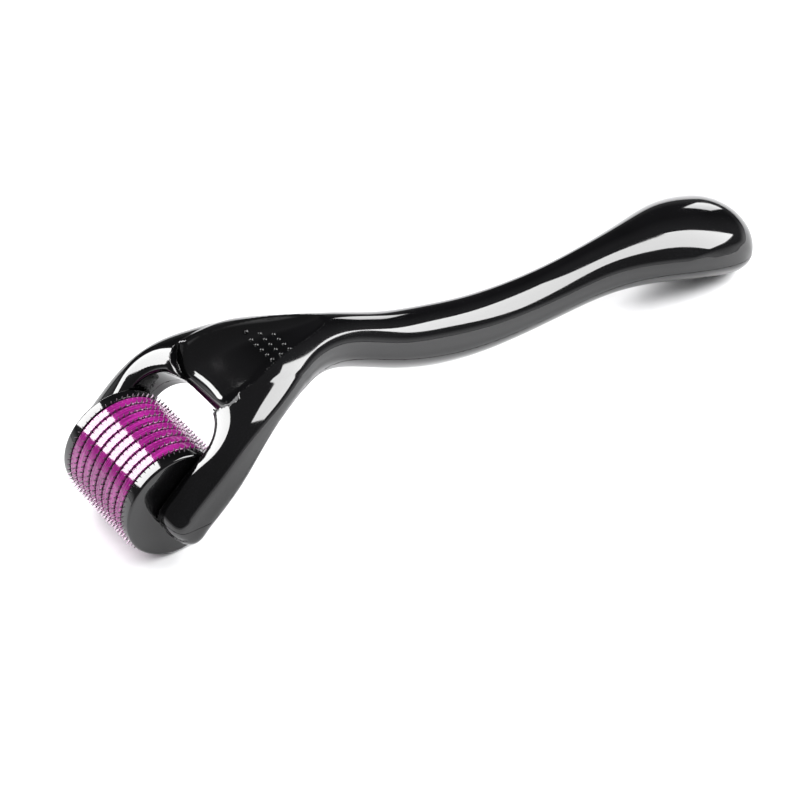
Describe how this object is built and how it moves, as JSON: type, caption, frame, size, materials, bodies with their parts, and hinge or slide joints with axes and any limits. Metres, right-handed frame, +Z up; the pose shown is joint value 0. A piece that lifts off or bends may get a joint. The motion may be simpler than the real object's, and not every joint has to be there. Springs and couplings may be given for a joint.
{
  "type": "derma roller",
  "caption": "Hand-held derma roller: curved glossy handle with a fork, and a needle drum of thin steel discs and coloured spacer rings that spins on a steel axle.",
  "frame": {"origin": "on the surface the object lies on, under the middle of its box", "axes": "+X from the roller to the end of the handle, +Y to the left fork arm, +Z up"},
  "size_m": [0.142, 0.0352, 0.0271],
  "materials": {
    "black_gloss": "black injection-moulded plastic, high gloss",
    "magenta_plastic": "magenta moulded plastic, glossy, with fine turned lines",
    "needle_steel": "thin stamped stainless steel",
    "axle_steel": "ground steel pin",
    "core_plastic": "dark moulded hub"
  },
  "bodies": {
    "handle": {"handle_upper_shell": "black_gloss", "handle_lower_shell": "black_gloss", "axle_pin": "axle_steel"},
    "roller_drum": {"drum_core": "core_plastic", "needle_disc_1": "needle_steel", "needle_disc_2": "needle_steel", "needle_disc_3": "needle_steel", "needle_disc_4": "needle_steel", "needle_disc_5": "needle_steel", "needle_disc_6": "needle_steel", "needle_disc_7": "needle_steel", "needle_disc_8": "needle_steel", "needle_disc_9": "needle_steel", "spacer_ring_1": "magenta_plastic", "spacer_ring_2": "magenta_plastic", "spacer_ring_3": "magenta_plastic", "spacer_ring_4": "magenta_plastic", "spacer_ring_5": "magenta_plastic", "spacer_ring_6": "magenta_plastic", "spacer_ring_7": "magenta_plastic", "spacer_ring_8": "magenta_plastic", "end_cap_left": "black_gloss", "end_cap_right": "black_gloss"}
  },
  "joints": [
    {"name": "drum_spin", "type": "hinge", "parent": "handle", "child": "roller_drum", "pos_m": [-0.0603, 0, 0.0106], "axis": [0, 1, 0], "continuous": true}
  ]
}
